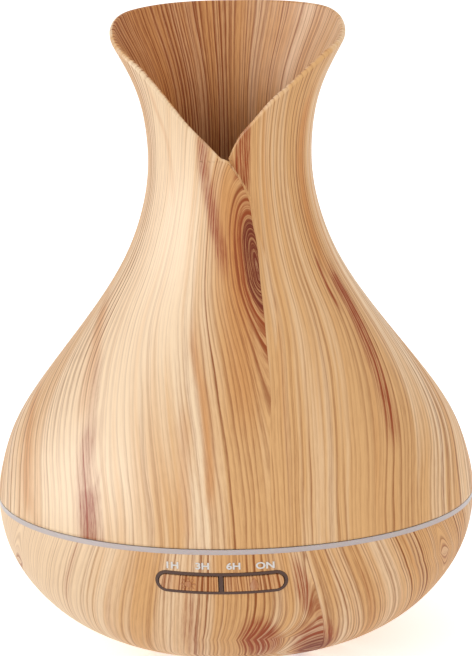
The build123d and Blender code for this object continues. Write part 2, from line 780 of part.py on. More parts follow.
def all_nodes():
    """Every node by name."""
    nodes = {
        "outer_cover": outer_cover(),
        "inner_cover": inner_cover(),
        "base_shell": base_shell(),
        "base_floor": base_floor(),
        "inlet_cup": inlet_cup(),
        "light_ring": light_ring(),
        "water_tank": water_tank(),
        "air_tube": air_tube(),
        "tank_screws": tank_screws(),
        "bottom_cover": bottom_cover(),
        "bottom_cover_screws": bottom_cover_screws(),
        "rubber_feet": rubber_feet(),
        "button_bezel": button_bezel(),
        "light_button": button(-1),
        "mist_button": button(1),
        "light_switch_body": switch_body(-1),
        "mist_switch_body": switch_body(1),
        "light_switch_plunger": switch_plunger(-1),
        "mist_switch_plunger": switch_plunger(1),
        "button_board": button_board(),
        "button_board_screws": button_board_screws(),
        "indicator_leds": indicator_leds(),
        "indicator_light_guide": indicator_light_guide(),
        "ring_board": ring_board(),
        "ring_leds": ring_leds(),
        "transducer_disc": transducer_disc(),
        "transducer_seal": transducer_seal(),
        "transducer_clamp": transducer_clamp(),
        "transducer_screws": transducer_screws(),
        "fan_frame": fan_frame(),
        "fan_bearing": fan_bearing(),
        "fan_stator": fan_stator(),
        "fan_impeller": fan_impeller(),
        "fan_shaft": fan_shaft(),
        "rotor_magnet": rotor_magnet(),
        "fan_duct": fan_duct(),
        "duct_gasket": duct_gasket(),
        "fan_screws": fan_screws(),
        "main_board": main_board(),
        "main_board_screws": main_board_screws(),
        "board_components": board_components(),
        "dc_jack": dc_jack(),
    }
    nodes.update(leads())
    return nodes


os.makedirs("parts", exist_ok=True)
for name, shape in all_nodes().items():
    export_step(shape, f"parts/{name}.step")
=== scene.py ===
import math

import bpy
import numpy as np
from mathutils import Matrix, Vector


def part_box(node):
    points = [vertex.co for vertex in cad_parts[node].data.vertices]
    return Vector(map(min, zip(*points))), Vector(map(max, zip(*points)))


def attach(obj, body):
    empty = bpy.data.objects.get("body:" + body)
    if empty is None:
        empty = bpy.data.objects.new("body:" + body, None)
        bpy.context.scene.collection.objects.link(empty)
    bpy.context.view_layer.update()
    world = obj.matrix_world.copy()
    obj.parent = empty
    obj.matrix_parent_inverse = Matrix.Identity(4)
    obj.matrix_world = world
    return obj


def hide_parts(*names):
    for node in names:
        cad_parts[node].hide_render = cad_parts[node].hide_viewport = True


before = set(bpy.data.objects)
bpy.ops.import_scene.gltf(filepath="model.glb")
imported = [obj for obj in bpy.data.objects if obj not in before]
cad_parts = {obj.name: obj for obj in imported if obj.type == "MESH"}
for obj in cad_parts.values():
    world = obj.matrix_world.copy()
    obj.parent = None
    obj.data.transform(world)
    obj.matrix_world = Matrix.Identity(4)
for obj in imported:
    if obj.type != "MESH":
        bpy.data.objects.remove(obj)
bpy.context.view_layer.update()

# ---------------------------------------------------------------- sizes
# The outline is worked in millimetres and degrees; meshes are made in metres.
# An angle is measured round the axis from the front (-Y), towards +X.
MM = 0.001
# Body's outline as (height, radius). Most of its points were printed by a scratch program that fitted
# the body to the photo's silhouette.
OUTLINE = [
    (1.0, 40.7), (6.0, 54.1), (13.0, 64.8), (22.0, 73.6), (34.0, 80.7), (46.0, 83.7),
    (53.0, 84.0), (64.0, 82.2), (78.0, 77.2), (95.0, 66.0), (115.0, 50.7), (135.0, 37.8),
    (152.0, 31.2), (166.0, 28.7), (180.0, 29.0), (192.0, 31.3), (202.0, 35.3), (214.0, 41.6),
    (222.0, 45.0),
]
WALL = 2.2
COVER_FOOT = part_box("outer_cover")[0].z / MM

# Mouth rim as (angle, height), from the V's point round to the back on each side. It follows
# points of the photo that a scratch program put on the fitted body.
RIM_RIGHT = [
    (0.6, 173.7), (1.6, 174.0), (3.7, 175.2), (5.9, 177.6), (7.9, 179.5), (10.6, 181.7), (17.1, 185.4),
    (24.8, 189.6), (34.6, 194.9), (43.8, 198.6), (53.4, 203.0), (66.0, 208.0), (82.0, 211.3),
    (96.0, 213.2), (108.6, 215.9), (123.4, 218.7), (140.0, 219.8), (180.6, 220.0),
]
RIM_LEFT = [
    (0.6, 173.7), (-3.7, 175.6), (-9.0, 178.4), (-19.9, 183.6), (-29.9, 188.6), (-39.3, 194.2),
    (-48.3, 199.5), (-57.0, 204.6), (-72.0, 209.2), (-86.0, 212.4), (-98.0, 215.3), (-112.6, 218.1),
    (-128.0, 219.3), (-145.0, 219.9), (-179.4, 220.0),
]
RIM_ROUND = 0.9

# Fold: the left petal's free edge as (angle, height), from the V down to where it
# fades. It has the same source as the rims.
FOLD = [
    (0.6, 173.7), (2.6, 173.2), (6.2, 170.4), (9.4, 167.6), (12.4, 164.2), (14.8, 160.8),
    (16.0, 157.0), (16.6, 151.8), (17.7, 147.0), (18.0, 141.3), (17.5, 134.0), (17.2, 127.7),
    (16.9, 121.3), (16.2, 113.5), (15.6, 104.6), (14.6, 96.0), (13.0, 86.0), (12.0, 70.0), (12.0, 52.0),
]
# Width in degrees of the sloping edge band beside the fold, by height
BAND = [
    (50.0, 0.4), (80.0, 0.4), (88.0, 0.6), (98.0, 1.6), (107.5, 3.2), (119.4, 5.8), (128.8, 7.0),
    (136.7, 6.6), (141.0, 5.4), (148.0, 4.2), (155.0, 3.2), (161.0, 2.5), (168.0, 1.8), (173.7, 0.8),
]
FOLD_FOOT = 86.0
PETAL_RAISE = 2.3
PETAL_RAISE_TOP = 150.0
PETAL_FADE = 75.0

# Mesh fineness of the cover
AROUND = 330
ROWS = 190
BAND_STEPS = [0.0, 0.04, 0.10, 0.20, 0.35, 0.55, 0.78, 1.0]
RIM_STEPS = 6
# Share of the skin's thickness, counted inwards, at which the rim starts to look like the inside
RIM_TURN = 0.6
# The fold's edge is paler with faint lines, and the rim has fainter ones still
EDGE_PALE = 0.5
EDGE_PLAIN = 0.4
RIM_PLAIN = 0.7

# Camera: distance from the axis, height, aim height (mm), angle round the axis and roll (degrees)
CAMERA_DISTANCE = 1200.0
CAMERA_HEIGHT = 361.9
CAMERA_AIM = 109.6
CAMERA_ANGLE = 3.9
CAMERA_ROLL = 1.1
CAMERA_SIDE = 1.01
CAMERA_LENS = 191.2

# Light: sky strength under and over the horizon, and the lamps' watts (the sheen lamp is only reflected)
SKY_BELOW = 0.90
SKY_ABOVE = 0.80
KEY_POWER = 8.4
FILL_POWER = 4.6
SHEEN_POWER = 170.0

# Keys: height and tilt of their plane, their centres, and the legends' places on it
KEY_HEIGHT = 40.0
KEY_TILT = 14.5
KEY_CENTRE = 11.0
KEY_PROUD = 0.5
LEGENDS = {"1H": -16.4, "3H": -6.1, "6H": 4.3, "ON": 14.8}
LEGEND_ROW = 6.5
LEGEND_SIZE = 4.0
LEGEND_SQUAT = 0.82
LEGEND_LIFT = 0.15
# Marks on the keys, in mm: the lamp's disc and rays, the drop's bowl, and their thickness
LAMP_RADIUS = 1.15
RAY_FROM = 1.6
RAY_TO = 2.4
RAY_HALF_WIDTH = 0.2
DROP_RADIUS = 1.45
DROP_LOW = -0.7
SYMBOL_THICKNESS = 0.3
SYMBOL_SUNK = 0.06
# Rings that the base's grain is shifted by, and rings once round
KEY_SHIFT = 17.7
RINGS_AROUND = 120


# ---------------------------------------------------------------- curves
def smooth_curve(points):
    """Cubic curve with free ends through (place, value) points, as a function of place."""
    place, value = np.array(points, float).T
    step = np.diff(place)
    slope = np.diff(value) / step
    size = len(place)
    system = np.eye(size)
    right = np.zeros(size)
    for i in range(1, size - 1):
        system[i, i - 1:i + 2] = step[i - 1], 2 * (step[i - 1] + step[i]), step[i]
        right[i] = 6 * (slope[i] - slope[i - 1])
    bend = np.linalg.solve(system, right)

    def evaluate(where):
        where = np.clip(where, place[0], place[-1])
        i = np.clip(np.searchsorted(place, where) - 1, 0, size - 2)
        b = (where - place[i]) / step[i]
        a = 1 - b
        cubic = (a ** 3 - a) * bend[i] + (b ** 3 - b) * bend[i + 1]
        return a * value[i] + b * value[i + 1] + cubic * step[i] ** 2 / 6
    return evaluate


def path_lookup(points):
    """Angle by height along a smooth path given as (angle, height) points running down."""
    steps = np.arange(len(points))
    fine = np.linspace(0, len(points) - 1, 600)
    angle = smooth_curve([(t, p[0]) for t, p in zip(steps, points)])(fine)
    height = smooth_curve([(t, p[1]) for t, p in zip(steps, points)])(fine)
    return lambda where: np.interp(where, height[::-1], angle[::-1])


def ease(value):
    """Smooth step from 0 to 1."""
    value = np.clip(value, 0, 1)
    return value * value * (3 - 2 * value)


radius_at = smooth_curve(OUTLINE)
rim_right = smooth_curve(RIM_RIGHT)
rim_left = smooth_curve([(-angle, height) for angle, height in RIM_LEFT])
fold_at = path_lookup(FOLD)
band_at = smooth_curve(BAND)


def surface(angle, height, offset):
    """Points at an angle, height and distance off the outer surface, in metres, as (..., 3)."""
    radius = radius_at(height)
    slope = (radius_at(height + 0.05) - radius_at(height - 0.05)) / 0.1
    lean = 1 / np.sqrt(1 + slope ** 2)
    out_radius = radius + offset * lean
    out_height = height - offset * slope * lean
    turn = np.radians(angle)
    return np.stack([out_radius * np.sin(turn), -out_radius * np.cos(turn), out_height], -1) * MM


# ---------------------------------------------------------------- shader helper
class Shader:
    """A node tree with short calls for the nodes used here."""

    def __init__(self, tree):
        self.tree = tree

    def add(self, kind, **settings):
        node = self.tree.nodes.new(kind)
        for name, value in settings.items():
            setattr(node, name, value)
        return node

    def feed(self, socket, value):
        if isinstance(value, bpy.types.NodeSocket):
            self.tree.links.new(value, socket)
        elif value is not None:
            socket.default_value = value

    def math(self, operation, a, b=None, c=None, clamp=False):
        node = self.add("ShaderNodeMath", operation=operation, use_clamp=clamp)
        for socket, value in zip(node.inputs, (a, b, c)):
            self.feed(socket, value)
        return node.outputs[0]

    def span(self, value, low, high, to_low=0.0, to_high=1.0, smooth=True):
        node = self.add("ShaderNodeMapRange", interpolation_type="SMOOTHSTEP" if smooth else "LINEAR")
        for socket, number in zip(node.inputs, (value, low, high, to_low, to_high)):
            self.feed(socket, number)
        return node.outputs[0]

    def vector(self, x, y, z):
        node = self.add("ShaderNodeCombineXYZ")
        for socket, value in zip(node.inputs, (x, y, z)):
            self.feed(socket, value)
        return node.outputs[0]

    def noise(self, vector, scale, detail=2.0, roughness=0.5, distortion=0.0):
        node = self.add("ShaderNodeTexNoise")
        self.feed(node.inputs["Vector"], vector)
        self.feed(node.inputs["Scale"], scale)
        self.feed(node.inputs["Detail"], detail)
        self.feed(node.inputs["Roughness"], roughness)
        self.feed(node.inputs["Distortion"], distortion)
        return node.outputs[0]

    def mix(self, share, first, second):
        node = self.add("ShaderNodeMix", data_type="RGBA")
        self.feed(node.inputs[0], share)
        self.feed(node.inputs[6], first)
        self.feed(node.inputs[7], second)
        return node.outputs[2]

    def attribute(self, name, output="Fac"):
        return self.add("ShaderNodeAttribute", attribute_name=name).outputs[output]


def colour(red, green, blue):
    """Linear colour from display values of 0 to 255."""
    return tuple((v / 255 / 12.92) if v < 11 else ((v / 255 + 0.055) / 1.055) ** 2.4
                 for v in (red, green, blue)) + (1.0,)


def new_material(name):
    """Material with an empty principled shader: returns material, helper and shader node."""
    material = bpy.data.materials.new(name)
    material.use_nodes = True
    shader = Shader(material.node_tree)
    return material, shader, material.node_tree.nodes["Principled BSDF"]


def bump(shader, principled, height, strength, distance):
    """Feed a height into the principled shader's normal."""
    node = shader.add("ShaderNodeBump")
    node.inputs["Strength"].default_value = strength
    node.inputs["Distance"].default_value = distance
    shader.feed(node.inputs["Height"], height)
    shader.feed(principled.inputs["Normal"], node.outputs[0])


# ---------------------------------------------------------------- wood print
PALE = colour(246, 215, 176)
HONEY = colour(225, 175, 118)
AMBER = colour(208, 138, 70)
LINE = colour(142, 78, 30)
RED = colour(150, 64, 22)
CORE = colour(110, 38, 12)
# Finer lines to each growth ring
FINE_COUNT = 1.83


def growth_line(shader, count, dark_from, dark_to):
    """Lines that darken slowly across each ring and end sharply."""
    phase = shader.math("FRACT", count)
    rise = shader.span(phase, dark_from, dark_to)
    return shader.math("MULTIPLY", rise, shader.span(phase, dark_to + 0.02, 1.0, 1.0, 0.0))


def wood_group():
    """Node group for the printed grain: ring count, height and marks to colour and relief."""
    tree = bpy.data.node_groups.new("wood_print", "ShaderNodeTree")
    for name in ("Ring", "Along", "Red", "Pale", "Core", "Plain", "Amber"):
        tree.interface.new_socket(name, in_out="INPUT", socket_type="NodeSocketFloat")
    tree.interface.new_socket("Colour", in_out="OUTPUT", socket_type="NodeSocketColor")
    tree.interface.new_socket("Relief", in_out="OUTPUT", socket_type="NodeSocketFloat")
    shader = Shader(tree)
    source = shader.add("NodeGroupInput")
    ring, along, red, pale, core, plain, honey = [source.outputs[i] for i in range(7)]

    # Place on a cylinder of 50 mm, so that the pattern closes at the back
    turn = shader.math("MULTIPLY", ring, 2 * math.pi / RINGS_AROUND)
    x = shader.math("MULTIPLY", shader.math("COSINE", turn), 50.0)
    y = shader.math("MULTIPLY", shader.math("SINE", turn), 50.0)

    def stretched(share):
        return shader.vector(x, y, shader.math("MULTIPLY", along, share))

    wander = shader.math("SUBTRACT", shader.noise(stretched(0.16), 0.10, 2.0), 0.5)
    ripple = shader.math("SUBTRACT", shader.noise(stretched(0.06), 0.5, 1.0), 0.5)
    bent = shader.math("ADD", ring, shader.math("MULTIPLY", wander, 1.8))
    bent = shader.math("ADD", bent, shader.math("MULTIPLY", ripple, 0.14))

    # Growth lines, each with its own strength, and finer ones between them
    line = growth_line(shader, bent, 0.42, 0.88)
    own = shader.noise(shader.vector(bent, shader.math("MULTIPLY", along, 0.010), 0.0), 0.37, 1.0)
    patch = shader.noise(stretched(0.10), 0.09, 1.0)
    strength = shader.math("MULTIPLY", shader.span(own, 0.36, 0.66, 0.2, 1.0),
                           shader.span(patch, 0.3, 0.65, 0.55, 1.0))
    line = shader.math("MULTIPLY", line, strength)
    fine = growth_line(shader, shader.math("MULTIPLY", bent, FINE_COUNT), 0.35, 0.85)
    fine_own = shader.noise(shader.vector(bent, shader.math("MULTIPLY", along, 0.014), 4.0), 1.1, 1.0)
    fine = shader.math("MULTIPLY", fine, shader.span(fine_own, 0.32, 0.68, 0.1, 0.9))

    fibre = shader.noise(stretched(0.07), 2.8, 4.0, 0.65)
    broad = shader.noise(stretched(0.05), 0.07, 3.0, 0.55)
    band = shader.noise(stretched(0.035), 0.30, 2.0, 0.5)
    glow = shader.noise(stretched(0.05), 0.16, 2.0, 0.5)

    tone = shader.math("ADD", shader.span(broad, 0.36, 0.64), shader.span(band, 0.35, 0.68, -0.22, 0.28))
    tone = shader.math("SUBTRACT", tone, pale, clamp=True)
    ground = shader.mix(tone, PALE, HONEY)
    amber = shader.math("MULTIPLY", shader.span(glow, 0.52, 0.72, 0.0, 0.45),
                        shader.math("SUBTRACT", 1.0, pale, clamp=True))
    amber = shader.math("MAXIMUM", amber, honey)
    ground = shader.mix(shader.math("MULTIPLY", amber, shader.math("SUBTRACT", 1.0, plain)), ground, AMBER)

    dark = shader.math("ADD", shader.math("MULTIPLY", line, 0.85), shader.math("MULTIPLY", fine, 0.62))
    dark = shader.math("ADD", dark, shader.span(fibre, 0.3, 0.7, -0.14, 0.22, smooth=False))
    dark = shader.math("MULTIPLY", dark, shader.math("SUBTRACT", 1.0, plain), clamp=True)
    wood = shader.mix(dark, ground, LINE)
    marked = shader.span(dark, 0.0, 0.5, 0.45, 1.0)
    marked = shader.math("MULTIPLY", marked, shader.span(fibre, 0.3, 0.7, 0.75, 1.15))
    wood = shader.mix(shader.math("MULTIPLY", red, marked, clamp=True), wood, RED)
    wood = shader.mix(shader.math("MULTIPLY", core, marked, clamp=True), wood, CORE)

    result = shader.add("NodeGroupOutput")
    shader.feed(result.inputs[0], wood)
    shader.feed(result.inputs[1], dark)
    return tree


WOOD = wood_group()


def wood_material(name, fields, roughness=0.48):
    """Printed wood finish; fields gives the group's inputs from the shader helper."""
    material, shader, principled = new_material(name)
    group = shader.add("ShaderNodeGroup", node_tree=WOOD)
    for socket, value in zip(group.inputs, fields(shader)):
        shader.feed(socket, value)
    shader.feed(principled.inputs["Base Color"], group.outputs[0])
    place = shader.add("ShaderNodeTexCoord").outputs["Object"]
    fine = shader.noise(place, 2600.0, 3.0)
    rough = shader.math("ADD", roughness, shader.math("MULTIPLY", group.outputs[1], 0.12))
    rough = shader.math("ADD", rough, shader.math("MULTIPLY", fine, 0.08))
    shader.feed(principled.inputs["Roughness"], rough)
    principled.inputs["Specular IOR Level"].default_value = 0.25
    relief = shader.math("SUBTRACT", shader.math("MULTIPLY", fine, 0.35), group.outputs[1])
    bump(shader, principled, relief, 0.25, 0.00012)
    return material


def cover_fields(shader):
    """The cover's grain, from what is stored on its mesh."""
    grain = shader.add("ShaderNodeUVMap", uv_map="grain").outputs[0]
    split = shader.add("ShaderNodeSeparateXYZ")
    shader.feed(split.inputs[0], grain)
    stored = [shader.attribute(name) for name in ("red", "pale", "core", "plain", "amber")]
    return split.outputs[0], split.outputs[1], *stored


# ---------------------------------------------------------------- cover mesh
def petal_raise(height):
    """How far the left petal stands off the body at its free edge, by height."""
    return PETAL_RAISE * ease((height - FOLD_FOOT) / (PETAL_RAISE_TOP - FOLD_FOOT))


def cover_grid():
    """Angles, heights and raises of the cover's skin, as (columns, rows).

    Columns start right of the fold's band, run round the back to the fold, then cross the band.
    """
    even = np.linspace(0, 1, AROUND)
    share = even - 0.62 * np.sin(2 * np.pi * even) / (2 * np.pi)
    top_band = float(band_at(FOLD[0][1]))
    start = FOLD[0][0] + top_band
    first = start + share * (360 - top_band)
    going_left = first > 180
    rim = np.where(going_left, rim_left(np.where(going_left, 360 - first, 1.9)),
                   rim_right(np.where(going_left, 0, first)))
    rim = rim - RIM_ROUND
    down = np.linspace(0, 1, ROWS)
    up = 1 - (1 - down) ** 1.25
    heights = COVER_FOOT + up[None, :] * (rim[:, None] - COVER_FOOT)
    fold = fold_at(heights)
    near_right = 1 - ease(share / 0.30)
    near_left = ease((share - 0.70) / 0.30)
    angles = (first[:, None] + near_right[:, None] * (fold + band_at(heights) - start)
              + near_left[:, None] * (fold - FOLD[0][0]))
    off_fold = (KNOT_AXIS + 360 - angles) / PETAL_FADE
    raises = np.where(going_left[:, None], petal_raise(heights) * (1 - ease(off_fold)), 0.0)

    crossing = np.array(BAND_STEPS[1:-1])[:, None]
    seam_height = heights[-1][None, :] * (1 - crossing) + heights[0][None, :] * crossing
    band_angle = (fold_at(seam_height) + 360) + crossing * band_at(seam_height)
    edge_raise = raises[-1][None, :]
    band_raise = edge_raise * (1 - crossing) ** 2
    angles = np.vstack([angles, band_angle])
    heights = np.vstack([heights, seam_height])
    raises = np.vstack([raises, band_raise])
    inside_band = np.vstack([np.zeros((AROUND, ROWS)), np.ones((len(crossing), ROWS))])
    return angles, heights, raises, inside_band


def hump(value, centre, width):
    """Bell curve."""
    return np.exp(-((value - centre) / width) ** 2)


# Red-brown streaks: half width in mm, strength, then (angle, height) points running down.
# Most of those on the front were picked on the photo and turned into angles and heights by a scratch
# program. Those at the back are made up.
STREAKS = [
    (2.1, 1.15, [(-13.7, 188), (-13.7, 172), (-11.0, 164), (-7.2, 155), (-2.4, 145), (0.7, 134)]),
    (1.9, 0.5, [(-51.7, 109), (-42.4, 95), (-38.1, 83)]),
    (3.6, 1.1, [(-40.1, 92), (-38.1, 83), (-35.7, 71), (-33.7, 62), (-31.4, 44)]),
    (4.4, 1.7, [(-34.6, 72), (-33.0, 59), (-31.0, 40)]),
    (1.2, 0.7, [(-32.1, 77), (-31.6, 69), (-29.7, 59), (-27.2, 44)]),
    (3.2, 1.1, [(66.9, 137), (65.3, 128), (66.4, 125), (65.7, 121), (62.3, 113), (59.1, 105),
                (54.1, 94), (48.0, 78)]),
    (2.7, 1.5, [(66.0, 134), (66.4, 125), (65.7, 121), (62.6, 111)]),
    (0.9, 1.0, [(57.4, 140), (56.8, 132), (56.3, 127), (57.4, 120)]),
    (1.6, 1.4, [(15.4, 190), (14.7, 174), (13.8, 162)]),
    (1.6, 1.1, [(13.5, 184), (9.8, 173), (7.8, 166)]),
    (2.6, 0.8, [(120, 165), (113, 110), (112, 60)]),
    (2.2, 1.0, [(160, 205), (153, 140), (150, 80)]),
    (3.0, 0.8, [(-150, 150), (-142, 100), (-140, 52)]),
    (1.8, 0.9, [(-118, 212), (-114, 160), (-112, 110)]),
]
# Amber streaks, given the same way
AMBERS = [
    (1.7, 0.80, [(-13.7, 124), (-11.2, 114), (-6.2, 101), (-4.6, 94), (-3.5, 87), (-2.6, 78), (-2.0, 62)]),
    (2.2, 0.50, [(-11.5, 98), (-10.1, 89), (-9.1, 80), (-8.5, 71), (-7.2, 52)]),
    (4.0, 0.70, [(-76.0, 126), (-65.3, 117), (-55.2, 109), (-47.0, 97), (-42.0, 86)]),
    (1.1, 0.55, [(-50.7, 200), (-49.7, 190), (-45.0, 183), (-41.9, 176), (-39.7, 169), (-36.4, 156)]),
    (2.4, 0.80, [(66.0, 200), (63.3, 182), (62.5, 171), (63.0, 163), (62.1, 144), (61.7, 130)]),
    (5.0, 0.60, [(-4.0, 180), (2.0, 150), (4.5, 130), (6.0, 110), (7.0, 84)]),
    (4.0, 0.65, [(-84.0, 94), (-69.0, 83), (-61.5, 75), (-52.0, 52)]),
    (4.0, 0.50, [(140, 215), (136, 150), (128, 60)]),
    (3.0, 0.60, [(-170, 200), (-165, 120), (-160, 60)]),
]
# Pale zones over the whole height: (angle, half width in degrees, strength). Those on the left of the front
# are partly the print's pale tone and partly painted sheen, where the lamps' broad highlight falls.
PALE_AND_SHEEN_ZONES = [(-38.0, 26.0, 1.0), (32.0, 34.0, -0.7), (-88.0, 30.0, 0.2), (84.0, 20.0, 0.2)]
# Zones where the lines are faint: (angle, half width in degrees, strength)
CALM_ZONES = [(-34.0, 24.0, 0.68), (33.0, 18.0, 0.4), (110.0, 30.0, 0.3), (-120.0, 40.0, 0.3)]
# Below a height the grain stays straight while the body swells: from what height, over how many mm,
# how much, and how far the right side leans, in degrees
STRAIGHT_FROM = 128.0
STRAIGHT_OVER = 75.0
STRAIGHT = 0.9
RIGHT_LEAN = 4.0
# Grain beside the fold leans to the right as it runs down: degrees per mm, over what height, from what angle
LEAN = 0.15
LEAN_HEIGHT = 45.0
LEAN_REACH = 36.0
# The oval figure beside the fold, cut off by it: heights in mm, widths in degrees
KNOT_AXIS = 16.6
KNOT_MIDDLE = 138.0
KNOT_TOP = 166.0
KNOT_WIDTH = 13.0
KNOT_CLOSES_FROM = 4.0
KNOT_CLOSES_OVER = 20.0
KNOT_CLOSING = 15.0
KNOT_CORE = 6.5
# Rings are twice as dense as elsewhere at the figure, over this many degrees
KNOT_DENSE = 9.0
# The inside of the cover: painted shade makes it deeper in tone, most on the left and low down, where the
# mouth's walls are shaded
INSIDE_SHADE_ANGLE = -125.0
INSIDE_SHADE_HEIGHT = 195.0
# Its marks: share on the lit side, and on the shaded side; together they paint light on the right inner wall
# and shade on the left
INSIDE_RED = (0.02, 0.36)
INSIDE_PALE = (0.25, -0.60)
INSIDE_CORE = (0.0, 0.10)
# Painted shade deep in the mouth, added to the core tone low down
INSIDE_DEPTH_SHADE = 0.45
INSIDE_AMBER = (0.35, 0.45)
INSIDE_PLAIN = (0.10, -0.50)


def streaks(turn, height, table):
    """Strongest of a table's streaks at each point."""
    radius = radius_at(height)
    result = np.zeros_like(height)
    for width, strength, points in table:
        angles, heights = np.array(points, float).T
        path = np.interp(height, heights[::-1], angles[::-1])
        across = np.radians((turn - path + 180) % 360 - 180) * radius / width
        share = (heights[0] - height) / (heights[0] - heights[-1])
        ends = ease((share + 0.05) / 0.25) * ease((1.05 - share) / 0.25)
        result = np.maximum(result, strength * np.exp(-np.abs(across) ** 3) * ends)
    return result


def straighten(away, share):
    """Angle from a middle line, opened up by a share so that the grain runs straight down over a swelling."""
    turn = np.radians(away)
    return away + share * np.degrees(np.sin(turn) * (1 + np.cos(turn)) / 2)


def cover_marks(angle, height, inner, band):
    """Ring count, red, pale, core, amber and calm at each point of the cover's skin."""
    turn = (angle + 180) % 360 - 180
    red = streaks(turn, height, STREAKS)
    amber = streaks(turn, height, AMBERS)
    # pale holds the print's pale tone and, on the left of the front, painted sheen
    pale = sum(strength * hump(turn, middle, width) for middle, width, strength in PALE_AND_SHEEN_ZONES)
    calm = sum(strength * hump(turn, middle, width) for middle, width, strength in CALM_ZONES)

    # On the left petal, near the fold, the grain leans and goes round the oval figure
    left = (angle > 180) & ~band
    below = KNOT_MIDDLE - height
    drop = ease((STRAIGHT_FROM - height) / STRAIGHT_OVER)
    lean = LEAN * LEAN_HEIGHT * np.tanh(below / LEAN_HEIGHT)
    near = ease((turn + LEAN_REACH) / (KNOT_AXIS + LEAN_REACH - 6))
    place = turn - lean * near
    above = np.clip(-below / (KNOT_TOP - KNOT_MIDDLE), 0, None)
    closing = KNOT_CLOSING * (1 - np.exp(-np.clip(below - KNOT_CLOSES_FROM, 0, None) / KNOT_CLOSES_OVER))
    lift = KNOT_WIDTH * above ** 1.3 + closing
    away = KNOT_AXIS - straighten(place, STRAIGHT * drop)
    oval = np.hypot(away, lift * ease((turn + 150) / 90))
    dense = oval + KNOT_DENSE * (np.tanh(oval / KNOT_DENSE) - 1)
    right_place = angle - RIGHT_LEAN * drop * (1 + np.cos(np.radians(angle))) / 2
    right_place = straighten(right_place, STRAIGHT * drop)
    rings = np.where(left, KNOT_AXIS - dense + 360, right_place) * RINGS_AROUND / 360

    core = left * (1 - ease((oval - 0.8 * KNOT_CORE) / (0.35 * KNOT_CORE)))
    around = left * (1 - ease((oval - KNOT_CORE) / (1.6 * KNOT_CORE))) * ease((height - 88) / 12)
    red = np.maximum(red, 0.8 * around)

    # Inside, most of the tone is painted light and shade, from where the wall stands and how deep down it is
    painted_shade_side = hump((turn - INSIDE_SHADE_ANGLE + 180) % 360 - 180, 0, 65)
    painted_depth_shade = ease((INSIDE_SHADE_HEIGHT - height) / 40)

    def inside(shares):
        return shares[0] + (shares[1] - shares[0]) * painted_shade_side

    return (rings, np.where(inner, inside(INSIDE_RED), red), np.where(inner, inside(INSIDE_PALE), pale),
            np.where(inner, inside(INSIDE_CORE) + INSIDE_DEPTH_SHADE * painted_depth_shade, core),
            np.where(inner, inside(INSIDE_AMBER), amber),
            np.where(inner, inside(INSIDE_PLAIN), calm - 0.8 * around))


def mesh_object(name, points, faces):
    """Smooth-shaded mesh object from points in metres."""
    mesh = bpy.data.meshes.new(name)
    mesh.from_pydata(points, [], faces)
    mesh.update()
    mesh.shade_smooth()
    piece = bpy.data.objects.new(name, mesh)
    bpy.context.scene.collection.objects.link(piece)
    return piece


def make_cover():
    """The wood-grain cover: outer skin, rounded rim and inner skin as one closed mesh."""
    angles, heights, raises, in_band = cover_grid()
    columns = angles.shape[0]
    layers_angle = [angles]
    layers_height = [heights]
    layers_point = [surface(angles, heights, raises)]
    layers_band = [in_band]
    layers_inner = [np.zeros_like(angles)]
    layers_rim = [np.zeros_like(angles)]
    for step in range(1, RIM_STEPS):
        share = step / RIM_STEPS
        depth = WALL * (1 - math.cos(math.pi * share)) / 2
        rise = RIM_ROUND * math.sin(math.pi * share)
        top_angle, top_height = angles[:, -1:], heights[:, -1:]
        point = surface(top_angle, top_height, raises[:, -1:] - depth)
        above = surface(top_angle, top_height + 1, 0) - surface(top_angle, top_height, 0)
        along = above / np.linalg.norm(above, axis=-1, keepdims=True)
        layers_point.append(point + along * rise * MM)
        layers_angle.append(top_angle)
        layers_height.append(top_height)
        layers_band.append(in_band[:, -1:])
        layers_inner.append(np.full_like(top_angle, 0.0 if share < RIM_TURN else 1.0))
        layers_rim.append(np.full_like(top_angle, 1.0 if share < RIM_TURN else 0.0))
    layers_point.append(surface(angles, heights, raises - WALL)[:, ::-1])
    layers_angle.append(angles[:, ::-1])
    layers_height.append(heights[:, ::-1])
    layers_band.append(in_band[:, ::-1])
    layers_inner.append(np.ones_like(angles))
    layers_rim.append(np.zeros_like(angles))
    point = np.concatenate(layers_point, 1)
    angle = np.concatenate(layers_angle, 1)
    height = np.concatenate(layers_height, 1)
    band = np.concatenate(layers_band, 1)
    inner = np.concatenate(layers_inner, 1)
    rim = np.concatenate(layers_rim, 1)
    rows = point.shape[1]

    index = np.arange(columns * rows).reshape(columns, rows)
    beside = np.roll(index, -1, 0)
    above = np.roll(index, -1, 1)
    faces = np.stack([index, beside, np.roll(beside, -1, 1), above], -1).reshape(-1, 4)
    cover = mesh_object("cover_shell", point.reshape(-1, 3), faces.tolist())

    ring, red, pale, core, amber, calm = cover_marks(angle, height, inner > 0.5, band > 0.5)
    edging = band * (1 - inner) * ease((height - FOLD_FOOT) / 20)
    marks = {"red": red * (1 - edging), "pale": pale + edging * EDGE_PALE, "core": core * (1 - edging),
             "plain": calm * (1 - edging) * (1 - rim) + edging * EDGE_PLAIN + rim * RIM_PLAIN,
             "amber": amber * (1 - edging)}
    for name, values in marks.items():
        layer = cover.data.attributes.new(name, "FLOAT", "POINT")
        layer.data.foreach_set("value", values.astype(np.float32).ravel())

    corner_ring = ring.ravel()[faces]
    wraps = np.repeat(np.arange(columns), rows) == columns - 1
    corner_ring[wraps, 1:3] += RINGS_AROUND
    corner_along = height.ravel()[faces]
    layer = cover.data.uv_layers.new(name="grain")
    layer.data.foreach_set("uv", np.stack([corner_ring, corner_along], -1).astype(np.float32).ravel())
    cover.data.materials.append(wood_material("wood_print_cover", cover_fields))
    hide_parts("outer_cover")
    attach(cover, "cover")
    return cover


